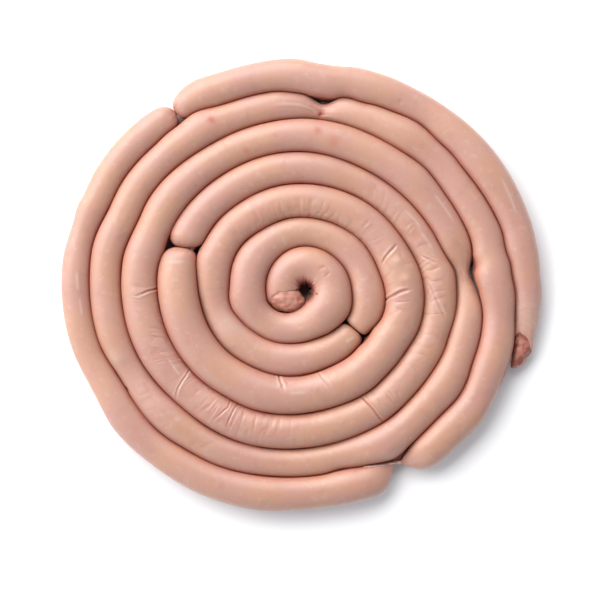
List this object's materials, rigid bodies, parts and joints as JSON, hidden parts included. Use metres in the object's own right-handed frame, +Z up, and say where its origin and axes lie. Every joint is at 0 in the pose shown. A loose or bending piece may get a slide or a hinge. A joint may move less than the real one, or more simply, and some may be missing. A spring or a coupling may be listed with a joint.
{
  "type": "string of sausage links",
  "caption": "Long string of plump raw sausage links laid down as one flat coil, with twisted casing between the links and an open end in the middle and on the outside.",
  "frame": {"origin": "middle of the box round the coil, at the height of the surface it lies on", "axes": "+Z up, out of the flat coil; +X across the coil's longest width, towards the side where the outer open end lies; +Y across the coil, away from a viewer who has that end on the right"},
  "size_m": [0.3496, 0.3274, 0.0265],
  "materials": {
    "link_casing": "moist pale pink natural casing over raw minced meat, soft gloss",
    "twisted_casing": "thin twisted natural casing, moist and half clear"
  },
  "bodies": {
    "root": {"link_1": "link_casing", "link_2": "link_casing", "link_3": "link_casing", "link_4": "link_casing", "link_5": "link_casing", "link_6": "link_casing", "link_7": "link_casing", "twist_1": "twisted_casing", "twist_2": "twisted_casing", "twist_3": "twisted_casing", "twist_4": "twisted_casing", "twist_5": "twisted_casing", "twist_6": "twisted_casing"}
  },
  "joints": []
}
